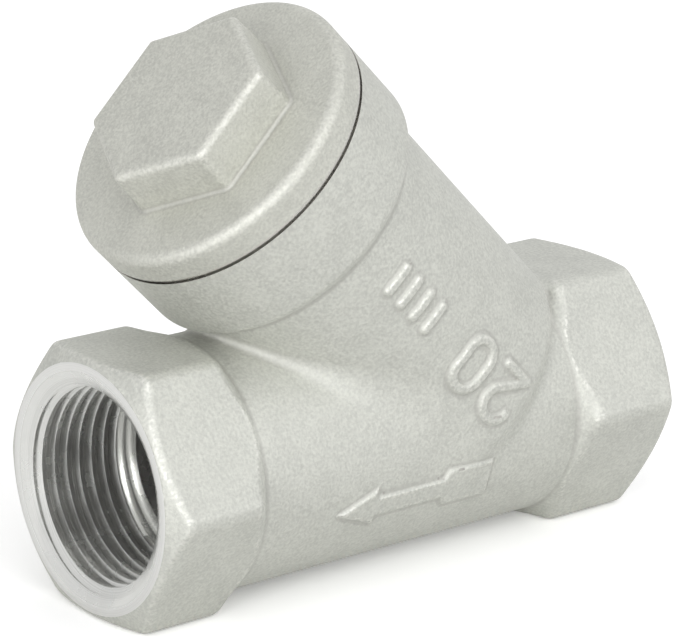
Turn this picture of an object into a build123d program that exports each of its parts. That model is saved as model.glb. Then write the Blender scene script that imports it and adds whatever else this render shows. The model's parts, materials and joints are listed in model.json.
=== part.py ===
from build123d import *
import os
from math import cos, radians, sin, tan

# Screwed Y strainer, nominal size 20 (three quarter inch pipe thread), in millimetres.
# The run lies along X: liquid enters at +X and leaves at -X. The branch rises at 45 degrees and
# leans towards the outlet. The origin is on the resting plane, under the middle of the run.

# ---- driving dimensions ----------------------------------------------------------------------
# pipe threads, drawn at their crest radius
thread_crest_radius = 12.06
thread_depth = 14.5
entry_chamfer = 2.24
thread_lip = 1.66  # how far the lip behind the thread stands inside its crest
lip_width = 2.6

# run
run_length = 80.0
hex_wall = 3.94  # from the thread's crest to the middle of a flat
outlet_hex_length = 13.8
inlet_hex_length = 15.5
hex_chamfer_angle = 30.0
hex_corner_rounding = 0.9
face_step = 0.7  # how far the flat ring on each end face stops inside the flats
shoulder_step = 0.2  # how far the barrel stands below the flats
barrel_wall = 3.5

# screen
screen_radius = 11.1
ring_wall = 0.45
ring_height = 4.0
ring_lip = 0.5
crimp_clearance = 0.04
support_sheet = 0.5
mesh_cloth = 0.4
hole_diameter = 2.5
hole_rows = 9
hole_columns = 14
seam_width = 4.0
seam_lap = 0.3
screen_end_play = 0.3

# branch, with places measured along it from the run's centre line
branch_angle = 45.0
foot_setback = 7.1  # from the end of the inlet thread to where the branch axis meets the run
neck_start = 6.3
neck_edge_rounding = 1.6
neck_wall = 3.0
seat_height = 53.9
boss_length = 10.0
shoulder_length = 2.6
boss_wall = 3.91

# chamber and partition
chamber_gap = 3.3  # around the screen
chamber_floor = 4.0
chamber_cone = 5.0
partition_thickness = 3.2
port_radius = 9.2
port_start = -7.0
screen_pocket_depth = 1.2
screen_pocket_clearance = 0.2
screen_pocket_rim = 0.9

# cap
spigot_wall = 3.75
cap_pilot_clearance = 0.2
cap_thread_clearance = 0.14
cap_thread_length = 9.0
cap_thread_pitch = 1.5
thread_run_out = 1.6
seat_chamfer = 0.9
flange_thickness = 4.0
flange_rounding = 1.3
hex_head_across_flats = 21.8
hex_head_height = 6.2
hex_head_draft = 2.5
hex_head_rounding = 0.9
cap_core_wall = 2.3  # from the core to the middle of a flat of the head
cap_crown_wall = 2.7  # over the screen
cap_head_wall = 4.2  # over the core, inside the head

# gasket
gasket_thickness = 0.6
gasket_inset = 0.8
gasket_clearance = 0.25

# raised marks
mark_height = 0.45
mark_root = 1.0  # how far a mark is rooted in the wall below it
mark_stand_off = 2.0  # from the boss to the planes the marks are sketched on
arrow_setback = 11.8  # from the outlet hexagon to the arrow's tip
arrow_drop = 4.6  # how far below the run axis the arrow's centre line lies
arrow_head = 5.8
arrow_head_width = 4.7
arrow_shaft_width = 2.5
arrow_shaft = 10.6
arrow_flare = 0.8
arrow_tail = 6.8
arrow_tail_width = 4.8
code_setback = 2.3  # from the neck's start to the first digit
code_base = 1.8  # from the branch axis to the digits' base line
digit_width = 4.2
digit_height = 6.8
digit_stroke = 1.15
digit_gap = 2.6
tally_bars = 4
tally_start = 18.6
tally_pitch = 2.7
tally_rise = 3.0
tally_length = 4.6

# ---- derived places --------------------------------------------------------------------------
hex_across_flats = 2 * (thread_crest_radius + hex_wall)
hex_corner_radius = hex_across_flats / 2 / cos(radians(30))
face_radius = hex_across_flats / 2 - face_step
barrel_radius = hex_across_flats / 2 - shoulder_step
cavity_radius = barrel_radius - barrel_wall
lip_radius = thread_crest_radius - thread_lip

run_height = hex_across_flats / 2
outlet_face = -run_length / 2
inlet_face = run_length / 2
outlet_shoulder = outlet_face + outlet_hex_length
inlet_shoulder = inlet_face - inlet_hex_length
branch_foot = inlet_face - thread_depth - foot_setback
cavity_start = outlet_face + thread_depth + lip_width
cavity_end = branch_foot - chamber_cone / 2
port_floor = chamber_floor - partition_thickness

screen_pocket_radius = screen_radius + screen_pocket_clearance
chamber_floor_radius = screen_pocket_radius + screen_pocket_rim
chamber_radius = screen_radius + chamber_gap
neck_radius = chamber_radius + neck_wall
cap_pilot_radius = screen_radius + cap_pilot_clearance
cap_thread_radius = cap_pilot_radius + spigot_wall
body_thread_radius = cap_thread_radius + cap_thread_clearance
boss_radius = body_thread_radius + boss_wall
shoulder_end = seat_height - boss_length
shoulder_start = shoulder_end - shoulder_length

flange_bottom = seat_height + gasket_thickness
flange_top = flange_bottom + flange_thickness
hex_head_top = flange_top + hex_head_height
spigot_end = flange_bottom - cap_thread_length
cap_ceiling = flange_top - cap_crown_wall
cap_core_radius = hex_head_across_flats / 2 - cap_core_wall
cap_core_top = hex_head_top - cap_head_wall
body_thread_floor = spigot_end - cap_thread_pitch

screen_bottom = chamber_floor - screen_pocket_depth
screen_top = cap_ceiling - screen_end_play
support_outer = screen_radius - ring_wall - crimp_clearance
support_inner = support_outer - support_sheet
mesh_outer = support_inner - crimp_clearance
mesh_inner = mesh_outer - mesh_cloth
ring_inner_wall = mesh_inner - crimp_clearance

lean = Vector(-cos(radians(branch_angle)), 0, sin(radians(branch_angle)))
across = Vector(sin(radians(branch_angle)), 0, cos(radians(branch_angle)))
foot = Vector(branch_foot, 0, run_height)
branch = Plane(origin=foot, x_dir=across, z_dir=lean)
branch_section = Plane(origin=foot, x_dir=across, z_dir=(0, -1, 0))
branch_axis = Axis(foot, lean)
run_section = Plane(origin=(0, 0, run_height), x_dir=(1, 0, 0), z_dir=(0, -1, 0))
run_axis = Axis((0, 0, run_height), (1, 0, 0))

os.makedirs("parts", exist_ok=True)


def turned(section, axis, outline):
    """A solid turned about an axis from the closed outline of half its section."""
    with BuildPart() as shape:
        with BuildSketch(section):
            with BuildLine():
                Polyline(*outline, close=True)
            make_face()
        revolve(axis=axis)
    return shape.part


# ---- body: hexagonal ends --------------------------------------------------------------------
def hexagonal_end(face, shoulder):
    """A wrenching hexagon, flat side down, with its corners turned off at both ends."""
    inward = 1 if shoulder > face else -1
    rise = tan(radians(hex_chamfer_angle))
    outer_run = inward * (hex_corner_radius - face_radius) * rise
    inner_run = inward * (hex_corner_radius - barrel_radius) * rise
    envelope = turned(run_section, run_axis, [
        (face, 0), (face, face_radius), (face + outer_run, hex_corner_radius),
        (shoulder - inner_run, hex_corner_radius), (shoulder, barrel_radius), (shoulder, 0),
    ])
    with BuildPart() as hexagon:
        with BuildSketch(Plane.YZ.offset(min(face, shoulder))):
            with Locations((0, run_height)):
                RegularPolygon(radius=hex_corner_radius, side_count=6)
        extrude(amount=abs(shoulder - face))
        fillet(hexagon.edges().filter_by(Axis.X), radius=hex_corner_rounding)
        add(envelope, mode=Mode.INTERSECT)
    return hexagon.part


outlet_end = hexagonal_end(outlet_face, outlet_shoulder)
inlet_end = hexagonal_end(inlet_face, inlet_shoulder)

# ---- body: outside of the run and the branch -------------------------------------------------
with BuildPart() as outside:
    with BuildSketch(Plane.YZ.offset(outlet_shoulder - 1)):
        with Locations((0, run_height)):
            Circle(barrel_radius)
    extrude(amount=inlet_shoulder - outlet_shoulder + 2)
    with BuildSketch(branch_section):
        with BuildLine():
            Line((0, neck_start), (neck_radius - neck_edge_rounding, neck_start))
            JernArc(start=(neck_radius - neck_edge_rounding, neck_start), tangent=(1, 0),
                    radius=neck_edge_rounding, arc_size=90)
            Line((neck_radius, neck_start + neck_edge_rounding), (neck_radius, shoulder_start))
            Spline((neck_radius, shoulder_start), (boss_radius, shoulder_end),
                   tangents=((0, 1), (0, 1)))
            Polyline((boss_radius, shoulder_end), (boss_radius, seat_height), (0, seat_height),
                     (0, neck_start))
        make_face()
    revolve(axis=branch_axis)
    add(outlet_end)
    add(inlet_end)

# ---- body: raised marks ----------------------------------------------------------------------
# Both marks are sketched flat beside the casting, pushed into it and trimmed to a thin skin.
marking_side = -boss_radius - mark_stand_off
arrow_plane = Plane(origin=(outlet_shoulder + arrow_setback, marking_side, run_height - arrow_drop),
                    x_dir=(1, 0, 0), z_dir=(0, -1, 0))
arrow_tail_start = arrow_head + arrow_shaft
arrow_edge = [
    (0, 0), (arrow_head, arrow_head_width / 2), (arrow_head, arrow_shaft_width / 2),
    (arrow_tail_start, arrow_shaft_width / 2),
    (arrow_tail_start + arrow_flare, arrow_tail_width / 2),
    (arrow_tail_start + arrow_flare + arrow_tail, arrow_tail_width / 2),
]

with BuildPart() as flow_arrow:
    with BuildSketch(arrow_plane):
        with BuildLine():
            Polyline(*arrow_edge, (arrow_edge[-1][0], 0), (0, 0))
        make_face()
        mirror(about=Plane.XZ)
    extrude(amount=-boss_radius)
    with BuildSketch(Plane.YZ.offset(outlet_shoulder)):
        with Locations((0, run_height)):
            Circle(barrel_radius + mark_height)
            Circle(barrel_radius - mark_root, mode=Mode.SUBTRACT)
    extrude(amount=inlet_shoulder - outlet_shoulder, mode=Mode.INTERSECT)

# "20" for the nominal size and four tally bars, read from the foot of the branch to its mouth
code_start = foot + lean * (neck_start + code_setback) + across * code_base
code_plane = Plane(origin=code_start + Vector(0, marking_side, 0), x_dir=lean, z_dir=(0, -1, 0))
bow_of_two = CenterArc((digit_width / 2, digit_height - digit_width / 2), digit_width / 2, 170, -215)
slope_of_two = Line(bow_of_two @ 1, (0, 0))

with BuildPart() as size_code:
    with BuildSketch(code_plane):
        SlotArc(arc=bow_of_two, height=digit_stroke)
        with Locations(slope_of_two @ 0.5):
            SlotCenterToCenter(slope_of_two.length, digit_stroke,
                               rotation=slope_of_two.tangent_angle_at(0))
        with Locations((digit_width / 2, 0)):
            SlotCenterToCenter(digit_width, digit_stroke)
        with Locations((digit_width * 1.5 + digit_gap, digit_height / 2)):
            SlotOverall(digit_height + digit_stroke, digit_width + digit_stroke, rotation=90)
            SlotOverall(digit_height - digit_stroke, digit_width - digit_stroke, rotation=90,
                        mode=Mode.SUBTRACT)
        for bar in range(tally_bars):
            with Locations((tally_start + bar * tally_pitch, tally_rise)):
                SlotOverall(tally_length, digit_stroke, rotation=90)
    extrude(amount=-boss_radius)
    with BuildSketch(branch):
        Circle(neck_radius + mark_height)
        Circle(neck_radius - mark_root, mode=Mode.SUBTRACT)
    extrude(amount=shoulder_start, mode=Mode.INTERSECT)

# ---- body: inside ----------------------------------------------------------------------------
def pipe_thread(face, inward):
    """The space taken by a screwed-in pipe: entry chamfer, thread and the lip behind it."""
    entry_depth = face + inward * entry_chamfer * tan(radians(hex_chamfer_angle))
    thread_end = face + inward * thread_depth
    lip_end = thread_end + inward * lip_width
    return turned(run_section, run_axis, [
        (face, 0), (face, thread_crest_radius + entry_chamfer), (entry_depth, thread_crest_radius),
        (thread_end, thread_crest_radius), (thread_end, lip_radius), (lip_end, lip_radius),
        (lip_end, 0),
    ])


# the outlet cavity ends on the partition's upper face, the inlet passage on its lower face
with BuildPart() as outlet_cavity:
    with BuildSketch(Plane.YZ.offset(cavity_start)):
        with Locations((0, run_height)):
            Circle(cavity_radius)
    extrude(amount=cavity_end - cavity_start)
    split(bisect_by=branch.offset(chamber_floor), keep=Keep.TOP)

with BuildPart() as inlet_passage:
    with BuildSketch(Plane.YZ.offset(inlet_face - thread_depth)):
        with Locations((0, run_height)):
            Circle(lip_radius)
    extrude(amount=-(inlet_face - thread_depth - cavity_start))
    split(bisect_by=branch.offset(port_floor), keep=Keep.BOTTOM)

chamber = turned(branch_section, branch_axis, [
    (0, port_start), (port_radius, port_start), (port_radius, screen_bottom),
    (screen_pocket_radius, screen_bottom), (screen_pocket_radius, chamber_floor),
    (chamber_floor_radius, chamber_floor), (chamber_radius, chamber_floor + chamber_cone),
    (chamber_radius, body_thread_floor),
    (body_thread_radius, body_thread_floor), (body_thread_radius, seat_height - seat_chamfer),
    (body_thread_radius + seat_chamfer, seat_height), (0, seat_height),
])

with BuildPart() as body:
    add(outside.part)
    add(flow_arrow.part)
    add(size_code.part)
    add(pipe_thread(outlet_face, 1), mode=Mode.SUBTRACT)
    add(pipe_thread(inlet_face, -1), mode=Mode.SUBTRACT)
    add(outlet_cavity.part, mode=Mode.SUBTRACT)
    add(inlet_passage.part, mode=Mode.SUBTRACT)
    add(chamber, mode=Mode.SUBTRACT)

# ---- cap -------------------------------------------------------------------------------------
cap_shell = turned(branch_section, branch_axis, [
    (cap_core_radius, flange_top), (cap_core_radius, cap_ceiling),
    (cap_pilot_radius, cap_ceiling), (cap_pilot_radius, spigot_end),
    (cap_thread_radius - seat_chamfer, spigot_end),
    (cap_thread_radius, spigot_end + seat_chamfer),
    (cap_thread_radius, flange_bottom - thread_run_out),
    (cap_thread_radius - seat_chamfer, flange_bottom - thread_run_out + seat_chamfer),
    (cap_thread_radius - seat_chamfer, flange_bottom), (boss_radius, flange_bottom),
    (boss_radius, flange_top),
])

with BuildPart() as cap:
    with BuildSketch(branch.offset(flange_top - flange_rounding)):
        RegularPolygon(radius=hex_head_across_flats / 2, side_count=6, major_radius=False)
    extrude(amount=hex_head_height + flange_rounding, taper=hex_head_draft)
    fillet(cap.faces().sort_by(branch_axis)[-1].edges(), radius=hex_head_rounding)
    with BuildSketch(branch.offset(flange_top - flange_rounding)):
        Circle(cap_core_radius)
    extrude(amount=cap_core_top - flange_top + flange_rounding, mode=Mode.SUBTRACT)
    add(cap_shell)
    rim = cap.edges().filter_by(GeomType.CIRCLE).filter_by(lambda e: e.radius > boss_radius - 0.01)
    fillet(rim.sort_by(branch_axis)[-1], radius=flange_rounding)

# ---- gasket ----------------------------------------------------------------------------------
with BuildPart() as cap_gasket:
    with BuildSketch(branch.offset(seat_height)):
        Circle(boss_radius - gasket_inset)
        Circle(body_thread_radius + seat_chamfer + gasket_clearance, mode=Mode.SUBTRACT)
    extrude(amount=gasket_thickness)

# ---- screen ----------------------------------------------------------------------------------
def sleeve(outer, inner, start, end):
    """A plain tube on the branch axis."""
    return turned(branch_section, branch_axis,
                  [(inner, start), (outer, start), (outer, end), (inner, end)])


def end_ring(end, inward):
    """A crimped channel ring: two walls and a lip that close over the sheet's raw edge."""
    lip = end + inward * ring_lip
    open_side = end + inward * ring_height
    return turned(branch_section, branch_axis, [
        (ring_inner_wall - ring_wall, end), (screen_radius, end), (screen_radius, open_side),
        (screen_radius - ring_wall, open_side), (screen_radius - ring_wall, lip),
        (ring_inner_wall, lip), (ring_inner_wall, open_side),
        (ring_inner_wall - ring_wall, open_side),
    ])


sheet_start = screen_bottom + ring_lip
sheet_end = screen_top - ring_lip
open_start = screen_bottom + ring_height
open_end = screen_top - ring_height
row_pitch = (open_end - open_start) / hole_rows

with BuildPart() as screen_support:
    add(sleeve(support_outer, support_inner, sheet_start, sheet_end))
    # lapped and welded seam of the rolled sheet, on the side away from the outlet
    with BuildSketch(branch.offset(open_start + crimp_clearance)):
        Circle(support_outer + seam_lap)
        Circle(support_outer - support_sheet / 2, mode=Mode.SUBTRACT)
        with Locations((support_outer, 0)):
            Rectangle(2 * support_sheet + 2 * seam_lap, seam_width, mode=Mode.INTERSECT)
    extrude(amount=open_end - open_start - 2 * crimp_clearance)
    for row in range(hole_rows):
        stagger = 0.5 * (row % 2)
        for column in range(1, hole_columns):
            turn = 360 * (column - stagger + 0.25) / hole_columns
            out = across * cos(radians(turn)) + Vector(0, 1, 0) * sin(radians(turn))
            centre = foot + lean * (open_start + (row + 0.5) * row_pitch)
            with BuildSketch(Plane(origin=centre + out * support_inner * 0.8, z_dir=out)):
                Circle(hole_diameter / 2)
            extrude(amount=support_outer, mode=Mode.SUBTRACT)

with BuildPart() as screen_mesh:
    add(sleeve(mesh_outer, mesh_inner, sheet_start, sheet_end))

with BuildPart() as screen_lower_ring:
    add(end_ring(screen_bottom, 1))

with BuildPart() as screen_upper_ring:
    add(end_ring(screen_top, -1))

# ---- finished pieces -------------------------------------------------------------------------
body.part.label = "body"
export_step(body.part, "parts/body.step")
cap.part.label = "cap"
export_step(cap.part, "parts/cap.step")
cap_gasket.part.label = "cap_gasket"
export_step(cap_gasket.part, "parts/cap_gasket.step")
screen_support.part.label = "screen_support"
export_step(screen_support.part, "parts/screen_support.step")
screen_mesh.part.label = "screen_mesh"
export_step(screen_mesh.part, "parts/screen_mesh.step")
screen_lower_ring.part.label = "screen_lower_ring"
export_step(screen_lower_ring.part, "parts/screen_lower_ring.step")
screen_upper_ring.part.label = "screen_upper_ring"
export_step(screen_upper_ring.part, "parts/screen_upper_ring.step")
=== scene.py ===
import json
import math

import bmesh
import bpy
import numpy as np
from mathutils import Matrix, Vector


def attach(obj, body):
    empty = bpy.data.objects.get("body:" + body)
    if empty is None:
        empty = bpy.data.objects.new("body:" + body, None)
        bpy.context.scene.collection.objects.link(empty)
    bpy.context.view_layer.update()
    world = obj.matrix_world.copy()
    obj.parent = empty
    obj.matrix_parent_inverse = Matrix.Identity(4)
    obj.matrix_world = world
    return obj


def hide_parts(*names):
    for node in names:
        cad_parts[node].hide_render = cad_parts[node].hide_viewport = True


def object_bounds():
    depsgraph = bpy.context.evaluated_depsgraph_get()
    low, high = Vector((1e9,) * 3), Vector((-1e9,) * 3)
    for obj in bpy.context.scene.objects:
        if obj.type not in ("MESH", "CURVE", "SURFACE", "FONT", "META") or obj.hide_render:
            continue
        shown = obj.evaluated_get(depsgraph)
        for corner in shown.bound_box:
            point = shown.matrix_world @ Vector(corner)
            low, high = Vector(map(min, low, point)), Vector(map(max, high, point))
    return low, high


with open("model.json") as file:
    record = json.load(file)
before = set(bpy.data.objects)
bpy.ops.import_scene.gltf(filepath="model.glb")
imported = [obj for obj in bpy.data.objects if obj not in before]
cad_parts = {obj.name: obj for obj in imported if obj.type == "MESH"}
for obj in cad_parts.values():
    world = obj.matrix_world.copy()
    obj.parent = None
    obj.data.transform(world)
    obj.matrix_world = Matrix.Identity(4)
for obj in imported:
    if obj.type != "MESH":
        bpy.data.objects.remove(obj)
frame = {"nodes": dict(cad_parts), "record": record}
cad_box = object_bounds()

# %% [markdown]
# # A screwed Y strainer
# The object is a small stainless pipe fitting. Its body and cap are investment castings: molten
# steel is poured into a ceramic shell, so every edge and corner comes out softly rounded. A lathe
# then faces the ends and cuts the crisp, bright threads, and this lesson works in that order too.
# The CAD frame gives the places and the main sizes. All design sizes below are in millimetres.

MM = 0.001
record = frame["record"]
mounts = {mount["name"]: mount for mount in record["mounts"]}
joints = {joint["name"]: joint for joint in record["behaviour"]["joints"]}

run_height = mounts["outlet_thread"]["pos_m"][2] / MM
crest_radius = mounts["outlet_thread"]["dims"]["r_mm"]
foot = np.array(joints["cap_turn"]["pos_m"]) / MM
lean = np.array(joints["cap_turn"]["axis"])
lean = lean / np.linalg.norm(lean)
side = np.array([0.0, 1.0, 0.0])
across = np.cross(side, lean)
print("run height", run_height, "branch foot", foot, "lean", lean.round(3))


# %% [markdown]
# The branch is a leaning cylinder, so most of its sizes are places along its axis and radii about
# it. This helper reads both from a CAD node.

# %% Reading a node along the branch axis
def along_branch(node):
    """Lowest and highest place along the branch axis and the largest radius about it, in mm."""
    mesh = frame["nodes"][node].data
    points = np.empty(len(mesh.vertices) * 3)
    mesh.vertices.foreach_get("co", points)
    offset = points.reshape(-1, 3) / MM - foot
    places = offset @ lean
    radii = np.linalg.norm(offset - np.outer(places, lean), axis=1)
    return places.min(), places.max(), radii.max()


seat_height, flange_bottom, gasket_radius = along_branch("cap_gasket")
spigot_end, head_top, flange_radius = along_branch("cap")
screen_bottom, _, screen_radius = along_branch("screen_support")
half_run = cad_box[1][0] / MM
boss_radius = cad_box[1][1] / MM
print("seat %.2f, flange from %.2f, head top %.2f" % (seat_height, flange_bottom, head_top))
print("radii of boss %.2f and flange %.2f" % (boss_radius, flange_radius))

# %% [markdown]
# ## The casting as a distance field
# A casting is one shape with soft joins. A *distance field* says how far any point is from the
# surface, negative inside. Two fields can be joined or cut with a rounded edge of a chosen radius,
# like a pattern maker's fillet. A bevel where cylinders and hexagons cross would break up.

# %% Joining and cutting with rounded edges
def join_round(a, b, radius):
    """The union of two fields with a concave fillet."""
    corner = np.hypot(np.maximum(radius - a, 0), np.maximum(radius - b, 0))
    return np.maximum(radius, np.minimum(a, b)) - corner


def cut_round(a, b, radius):
    """What two fields share, with the convex edge between them rounded."""
    corner = np.hypot(np.maximum(radius + a, 0), np.maximum(radius + b, 0))
    return np.minimum(-radius, np.maximum(a, b)) + corner


def smooth_step(value, start, end):
    """0 before start, 1 after end, and an even S curve between them."""
    t = np.clip((value - start) / (end - start), 0, 1)
    return t * t * (3 - 2 * t)


print("a 2 mm fillet fills a square corner %.2f mm deep" % -join_round(0, 0, 2))


# %% Sizes of the body's casting
half_flats = run_height
outlet_hex_length = 13.8
inlet_hex_length = 15.5
face_radius = half_flats - 0.7
barrel_radius = half_flats - 0.2
neck_radius = 17.4
neck_start = 6.3
shoulder = (seat_height - 12.6, seat_height - 10.0)
allowance = 1.2

hex_edge_round = 1.0
hex_rim_round = 0.5
hex_back_round = 0.9
hex_step_round = 0.3
hex_cone = math.radians(30)
barrel_overlap = 0.6
barrel_to_hex = 1.3
crotch_round = 1.6
flank_round = 3.2
crotch_to_flank = (8, 15)
neck_foot_round = 1.5
print("hexagons", outlet_hex_length, "and", inlet_hex_length, "long,", 2 * half_flats, "across")


# %% Fields of the body's parts
def six_flats(x, y, half, turns, corner):
    """Three pairs of flats at the given angles, with rounded corners."""
    field = None
    for turn in turns:
        flats = x * math.cos(math.radians(turn)) + y * math.sin(math.radians(turn))
        flats = np.abs(flats) - half
        field = flats if field is None else cut_round(field, flats, corner)
    return field


def hexagon_field(p):
    """The run's hexagon, which stands on a flat."""
    return six_flats(p[..., 1], p[..., 2] - run_height, half_flats, (90, 30, -30), hex_edge_round)


def hex_end_field(p, outward, length):
    """One hexagon. A 30 degree cone turns its corners off at the face and behind."""
    depth = half_run - outward * p[..., 0]
    radius = np.hypot(p[..., 1], p[..., 2] - run_height)
    front = (radius - face_radius) * math.sin(hex_cone) - depth * math.cos(hex_cone)
    back = (radius - barrel_radius) * math.sin(hex_cone) - (length - depth) * math.cos(hex_cone)
    field = cut_round(hexagon_field(p), front, hex_rim_round)
    field = cut_round(field, back, hex_back_round)
    field = cut_round(field, depth - length, hex_step_round)
    return np.maximum(field, -depth - allowance)


def run_field(p):
    """Barrel and both hexagons. Nothing on the run stands outside the hexagon's flats."""
    radius = np.hypot(p[..., 1], p[..., 2] - run_height)
    ends = np.maximum(p[..., 0] - half_run + inlet_hex_length,
                      -p[..., 0] - half_run + outlet_hex_length)
    field = np.maximum(radius - barrel_radius, ends - barrel_overlap)
    field = join_round(field, hex_end_field(p, 1, inlet_hex_length), barrel_to_hex)
    field = join_round(field, hex_end_field(p, -1, outlet_hex_length), barrel_to_hex)
    return np.maximum(field, hexagon_field(p))


def body_field(p):
    """The whole casting, before machining and without its raised marks."""
    offset = p - foot
    place = offset @ lean
    about = np.hypot(offset[..., 1], offset @ across)
    growth = (boss_radius - neck_radius) * smooth_step(place, *shoulder)
    branch = cut_round(about - neck_radius - growth, neck_start - place, neck_foot_round)
    branch = np.maximum(branch, place - seat_height - allowance)
    soft = smooth_step(np.abs(p[..., 1]), *crotch_to_flank)
    return join_round(run_field(p), branch, crotch_round + (flank_round - crotch_round) * soft)


print("metal round the run's axis: %.1f mm" % -body_field(np.array([0, 0, run_height])))


# %% [markdown]
# The raised marks are part of the same pour. The flow arrow points to the outlet, "20" is the
# nominal size, and four tally bars stand where a foundry puts its own code. Each mark is a flat
# outline seen from the side, and inside it the surface is lifted.

# %% Outlines of the raised marks, as flat distances
mark_height = 0.45
mark_edge = (0.35, -0.30)
arrow_setback = 11.8
arrow_tip = -half_run + outlet_hex_length + arrow_setback
arrow_drop = 4.6
arrow_outline = [(0, 0), (5.8, 2.35), (5.8, 1.25), (16.4, 1.25), (17.2, 2.4), (24.0, 2.4)]
code_start = neck_start + 2.3
code_base = 1.8
digit_width, digit_height, digit_stroke, digit_gap = 4.2, 6.8, 1.15, 2.6
bow_middle, bow_half_turn = 62.5, 107.5
tally_start, tally_pitch, tally_bars = 18.6, 2.7, 4
tally_rise, tally_length = 3.0, 4.6
far_away = 9.0
print("arrow", arrow_outline[-1][0], "long, code from", code_start, "up the branch")


def segment_distance(u, v, start, end):
    """Distance in a plane to a straight stroke's centre line."""
    run, climb = end[0] - start[0], end[1] - start[1]
    t = np.clip(((u - start[0]) * run + (v - start[1]) * climb) / (run * run + climb * climb), 0, 1)
    return np.hypot(u - start[0] - t * run, v - start[1] - t * climb)


def outline_distance(u, v, outline):
    """Signed distance to a closed outline, negative inside."""
    nearest = np.full(u.shape, np.inf)
    inside = np.zeros(u.shape, bool)
    for start, end in zip(outline, outline[1:] + outline[:1]):
        nearest = np.minimum(nearest, segment_distance(u, v, start, end))
        crosses = (start[1] > v) != (end[1] > v)
        if end[1] != start[1]:
            reach = start[0] + (v - start[1]) * (end[0] - start[0]) / (end[1] - start[1])
            inside ^= crosses & (u < reach)
    return np.where(inside, -nearest, nearest)


def arc_distance(u, v, centre, radius, middle, half_turn):
    """Distance to an arc's centre line. Angles are in degrees."""
    angle = np.degrees(np.arctan2(v - centre[1], u - centre[0])) - middle
    angle = np.clip((angle + 180) % 360 - 180, -half_turn, half_turn) + middle
    near_u = centre[0] + radius * np.cos(np.radians(angle))
    near_v = centre[1] + radius * np.sin(np.radians(angle))
    return np.hypot(u - near_u, v - near_v)


def arrow_distance(p):
    """The flow arrow, laid along the barrel."""
    u = p[..., 0] - arrow_tip
    v = p[..., 2] - run_height + arrow_drop
    mirrored = [(x, -y) for x, y in reversed(arrow_outline[1:])]
    return outline_distance(u, v, arrow_outline + mirrored)


def code_distance(p):
    """The size code and the tally bars, read along the branch."""
    offset = p - foot
    u = offset @ lean - code_start
    v = code_base - offset @ across
    half = digit_width / 2
    bow = (half, digit_height - half)
    last = math.radians(bow_middle - bow_half_turn)
    bow_end = (bow[0] + half * math.cos(last), bow[1] + half * math.sin(last))
    strokes = arc_distance(u, v, bow, half, bow_middle, bow_half_turn)
    lines = [(bow_end, (0, 0)), ((0, 0), (digit_width, 0))]
    nought = digit_width * 1.5 + digit_gap
    spine = segment_distance(u, v, (nought, half), (nought, digit_height - half))
    strokes = np.minimum(strokes, np.abs(spine - half))
    reach = (tally_length - digit_stroke) / 2
    for number in range(tally_bars):
        place = tally_start + tally_pitch * number
        lines.append(((place, tally_rise - reach), (place, tally_rise + reach)))
    for start, end in lines:
        strokes = np.minimum(strokes, segment_distance(u, v, start, end))
    return strokes - digit_stroke / 2


def marks_distance(p):
    """Distance to the nearest raised mark on the marked side, and far away elsewhere."""
    marked = np.minimum(arrow_distance(p), code_distance(p))
    return np.where(p[..., 1] < -barrel_radius / 2, marked, far_away)


def marked_body_field(p):
    """The casting with its marks raised."""
    return body_field(p) - mark_height * smooth_step(marks_distance(p), *mark_edge)


# %% [markdown]
# ## From a field to a mesh
# A *surface net* puts one vertex in every grid cell that the surface passes through and a quad
# across every grid edge that it crosses. The vertices are then slid along the field's slope onto
# the exact surface, and evened out between slides, so that shading stays clean on large flats.

# %% Surface net
def surface_net(field, low, high, cell):
    """Vertices in mm and quads of the surface where the field is zero."""
    lines = [np.arange(a, b + cell, cell) for a, b in zip(low, high)]
    y, z = np.meshgrid(lines[1], lines[2], indexing="ij")
    value = np.stack([field(np.stack([np.full_like(y, x), y, z], -1)) for x in lines[0]])
    cells = [n - 1 for n in value.shape]
    crossings, quads, slots = [], [], []
    for axis in range(3):
        first = np.take(value, range(cells[axis]), axis)
        second = np.take(value, range(1, cells[axis] + 1), axis)
        where = np.argwhere((first < 0) != (second < 0))
        u, v = [other for other in range(3) if other != axis]
        inner = (where[:, u] > 0) & (where[:, v] > 0)
        inner &= (where[:, u] < cells[u]) & (where[:, v] < cells[v])
        where = where[inner]
        a, b = first[tuple(where.T)], second[tuple(where.T)]
        point = where.astype(float)
        point[:, axis] += a / (a - b)
        ring = []
        for step_u, step_v in ((0, 0), (-1, 0), (-1, -1), (0, -1)):
            cell_place = where.copy()
            cell_place[:, u] += step_u
            cell_place[:, v] += step_v
            ring.append(np.ravel_multi_index(tuple(cell_place.T), cells))
            crossings.append(point)
            slots.append(ring[-1])
        ring = np.stack(ring, 1)
        flip = (a < 0) == (axis == 1)
        ring[flip] = ring[flip][:, ::-1]
        quads.append(ring)
    names, index = np.unique(np.concatenate(slots), return_inverse=True)
    crossings = np.concatenate(crossings)
    count = np.bincount(index)
    middle = [np.bincount(index, crossings[:, k]) / count for k in range(3)]
    vertices = np.stack(middle, 1) * cell + np.array(low)
    return vertices, np.searchsorted(names, np.concatenate(quads))


def ball(p):
    """A ball of 1 mm radius, to try the tools on."""
    return np.linalg.norm(p, axis=-1) - 1


trial, quads = surface_net(ball, [-1.5] * 3, [1.5] * 3, 0.25)
print("a trial ball has %d quads, %.3f mm off" % (len(quads), np.abs(ball(trial)).max()))


# %% Sliding vertices onto the surface
def slope_of(field, points, step=0.02):
    """The field's gradient by central differences."""
    slope = np.empty_like(points)
    for axis in range(3):
        shift = np.zeros(3)
        shift[axis] = step
        slope[:, axis] = (field(points + shift) - field(points - shift)) / (2 * step)
    return slope


def settle(field, points, rounds=3, least=0.05):
    """Newton steps down the slope onto the surface."""
    for _ in range(rounds):
        slope = slope_of(field, points)
        length = np.maximum((slope * slope).sum(1), least)
        points = points - (field(points) / length)[:, None] * slope
    return points


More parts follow.
